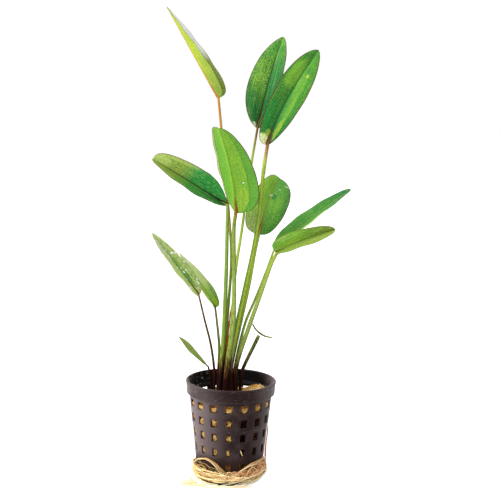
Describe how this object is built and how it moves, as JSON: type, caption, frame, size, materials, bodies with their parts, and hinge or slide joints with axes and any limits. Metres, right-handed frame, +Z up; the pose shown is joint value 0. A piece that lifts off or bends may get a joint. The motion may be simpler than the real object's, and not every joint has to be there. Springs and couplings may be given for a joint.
{
  "type": "potted echinodorus",
  "caption": "Aquarium plant with long-stalked oval leaves in mineral wool, standing in a tapered plastic net pot with its roots matted round the foot.",
  "frame": {"origin": "on the floor under the pot, in the flat underside of the root mat; the middle of the pot's foot is 1.35 mm to its left", "axes": "+Z up, -Y the front that the picture shows, +X to the right in that view"},
  "size_m": [0.12, 0.0866, 0.284],
  "materials": {
    "pot_plastic": "moulded purplish black plastic, satin, lightly scuffed",
    "mineral_wool": "golden brown mineral fibre, coarse and dull",
    "rootstock": "dark red brown leaf bases, moist",
    "roots": "straw coloured root fibres, dull",
    "leaf": "fresh green leaf with fine veins and a thin red brown margin, satin",
    "stem": "yellow green leaf stalk with fine ridges, satin",
    "dried": "dried orange brown leaf sheath, dull"
  },
  "bodies": {
    "root": {"net_pot": "pot_plastic", "rock_wool": "mineral_wool", "crown": "rootstock", "root_mat": "roots", "root_strand_back": "roots", "root_strand_middle": "roots", "root_strand_front": "roots", "root_strand_climbing": "roots", "blade_top_left": "leaf", "blade_top_middle": "leaf", "blade_top_right": "leaf", "blade_centre": "leaf", "blade_rear": "leaf", "blade_left": "leaf", "blade_right_upper": "leaf", "blade_right_lower": "leaf", "blade_low_front": "leaf", "blade_low_rear": "leaf", "blade_small": "leaf", "stalk_top_left": "stem", "stalk_top_middle": "stem", "stalk_top_right": "stem", "stalk_centre": "stem", "stalk_rear": "stem", "stalk_left": "stem", "stalk_right_upper": "stem", "stalk_right_lower": "stem", "stalk_low_front": "stem", "stalk_low_rear": "stem", "stalk_small": "stem", "cut_stump": "stem", "withered_shred": "stem", "dried_sheath": "dried"}
  },
  "joints": []
}
